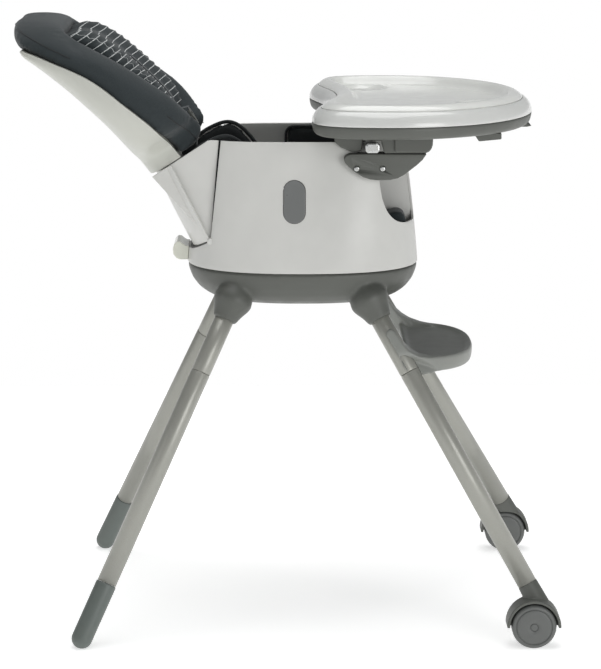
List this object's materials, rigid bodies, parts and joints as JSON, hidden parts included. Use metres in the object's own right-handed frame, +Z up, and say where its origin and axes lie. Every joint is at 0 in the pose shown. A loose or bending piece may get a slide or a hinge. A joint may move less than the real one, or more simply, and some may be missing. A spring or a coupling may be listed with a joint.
{
  "type": "baby high chair",
  "caption": "Baby high chair with a reclining padded seat, harness, sliding tray with lift-off insert, footrest, splayed tubular legs and front casters.",
  "frame": {"origin": "on the floor under the middle of the whole chair's bounding box, back reclined and tray fully back", "axes": "+X is the way the child faces, +Y to the child's left, +Z up"},
  "size_m": [0.8046, 0.593, 0.8949],
  "materials": {
    "light_plastic": "satin light grey moulding",
    "dark_plastic": "fine-grained dark grey moulding",
    "ivory_plastic": "polished ivory moulding",
    "tray_plastic": "polished light grey moulding",
    "insert_plastic": "polished, slightly milky",
    "button_plastic": "satin grey moulding",
    "fabric": "charcoal woven, padded",
    "patterned_fabric": "charcoal woven with thin pale lines, padded",
    "coated_fabric": "black woven, bound edges",
    "webbing": "black ribbed webbing",
    "painted_tube": "silver paint",
    "foot_plastic": "dark grey-green moulding",
    "wheel_plastic": "grey moulding",
    "steel": "bright"
  },
  "bodies": {
    "chair": {"seat_shell": "light_plastic", "hub": "dark_plastic", "footrest": "dark_plastic", "harness_buckle": "dark_plastic", "armrest_right": "dark_plastic", "armrest_left": "dark_plastic", "caster_housing_right": "dark_plastic", "caster_housing_left": "dark_plastic", "seat_cushion": "fabric", "side_pad_right": "coated_fabric", "side_pad_left": "coated_fabric", "waist_strap_right": "webbing", "waist_strap_left": "webbing", "crotch_strap": "webbing", "upper_leg_rear_right": "painted_tube", "upper_leg_rear_left": "painted_tube", "upper_leg_front_right": "painted_tube", "upper_leg_front_left": "painted_tube", "lower_leg_rear_right": "painted_tube", "lower_leg_rear_left": "painted_tube", "lower_leg_front_right": "painted_tube", "lower_leg_front_left": "painted_tube", "rear_foot_right": "foot_plastic", "rear_foot_left": "foot_plastic", "caster_axle_right": "steel", "caster_axle_left": "steel", "armrest_screw_right_rear": "steel", "armrest_screw_right_front": "steel", "armrest_screw_left_rear": "steel", "armrest_screw_left_front": "steel"},
    "backrest": {"lower_back": "light_plastic", "upper_back_shell": "light_plastic", "back_pad": "fabric", "insert_cushion": "patterned_fabric", "wing_pad_right": "fabric", "wing_pad_left": "fabric", "shoulder_strap_right": "webbing", "shoulder_strap_left": "webbing", "strap_tongue_right": "dark_plastic", "strap_tongue_left": "dark_plastic"},
    "recline_lever": {"recline_lever": "button_plastic"},
    "tray": {"tray_base": "dark_plastic", "tray_top": "tray_plastic", "tray_front_grip": "dark_plastic", "tray_latch_right": "dark_plastic", "tray_latch_left": "dark_plastic", "tray_foot_right": "dark_plastic", "tray_foot_left": "dark_plastic"},
    "tray_insert": {"tray_insert": "insert_plastic"},
    "tray_lever_right": {"tray_release_lever_right": "steel"},
    "tray_lever_left": {"tray_release_lever_left": "steel"},
    "seat_button_right": {"seat_release_button_right": "button_plastic"},
    "seat_button_left": {"seat_release_button_left": "button_plastic"},
    "rear_tab": {"rear_release_tab": "ivory_plastic"},
    "buckle_button": {"buckle_button": "button_plastic"},
    "wheel_right_outer": {"caster_wheel_right_outer": "wheel_plastic"},
    "wheel_right_inner": {"caster_wheel_right_inner": "wheel_plastic"},
    "wheel_left_outer": {"caster_wheel_left_outer": "wheel_plastic"},
    "wheel_left_inner": {"caster_wheel_left_inner": "wheel_plastic"}
  },
  "joints": [
    {"name": "back_recline", "type": "hinge", "parent": "chair", "child": "backrest", "pos_m": [-0.10845, 0, 0.572], "axis": [0, 1, 0], "range_deg": [0, 33]},
    {"name": "recline_lever_squeeze", "type": "slide", "parent": "backrest", "child": "recline_lever", "axis": [0.8387, 0, 0.5446], "range_m": [0, 0.004], "stiffness_N_per_m": 600, "springref_m": -0.002},
    {"name": "tray_slide", "type": "slide", "parent": "chair", "child": "tray", "axis": [1, 0, 0], "range_m": [0, 0.06]},
    {"name": "tray_insert_lift", "type": "slide", "parent": "tray", "child": "tray_insert", "axis": [0, 0, 1], "range_m": [0, 0.12]},
    {"name": "tray_lever_right_press", "type": "slide", "parent": "tray", "child": "tray_lever_right", "axis": [0, 1, 0], "range_m": [0, 0.005], "stiffness_N_per_m": 500, "springref_m": -0.002},
    {"name": "seat_button_right_press", "type": "slide", "parent": "chair", "child": "seat_button_right", "axis": [0, 0.987, -0.1607], "range_m": [0, 0.003], "stiffness_N_per_m": 600, "springref_m": -0.002},
    {"name": "tray_lever_left_press", "type": "slide", "parent": "tray", "child": "tray_lever_left", "axis": [0, -1, 0], "range_m": [0, 0.005], "stiffness_N_per_m": 500, "springref_m": -0.002},
    {"name": "seat_button_left_press", "type": "slide", "parent": "chair", "child": "seat_button_left", "axis": [0, -0.987, -0.1607], "range_m": [0, 0.003], "stiffness_N_per_m": 600, "springref_m": -0.002},
    {"name": "rear_tab_pull", "type": "slide", "parent": "chair", "child": "rear_tab", "axis": [-1, 0, 0], "range_m": [0, 0.005], "stiffness_N_per_m": 800, "springref_m": -0.002},
    {"name": "buckle_button_press", "type": "slide", "parent": "chair", "child": "buckle_button", "axis": [0, 0, -1], "range_m": [0, 0.002], "stiffness_N_per_m": 400, "springref_m": -0.002},
    {"name": "wheel_right_outer_spin", "type": "hinge", "parent": "chair", "child": "wheel_right_outer", "pos_m": [0.36309, -0.27538, 0.0325], "axis": [0, 1, 0], "continuous": true},
    {"name": "wheel_right_inner_spin", "type": "hinge", "parent": "chair", "child": "wheel_right_inner", "pos_m": [0.36309, -0.27538, 0.0325], "axis": [0, 1, 0], "continuous": true},
    {"name": "wheel_left_outer_spin", "type": "hinge", "parent": "chair", "child": "wheel_left_outer", "pos_m": [0.36309, 0.27538, 0.0325], "axis": [0, 1, 0], "continuous": true},
    {"name": "wheel_left_inner_spin", "type": "hinge", "parent": "chair", "child": "wheel_left_inner", "pos_m": [0.36309, 0.27538, 0.0325], "axis": [0, 1, 0], "continuous": true}
  ]
}
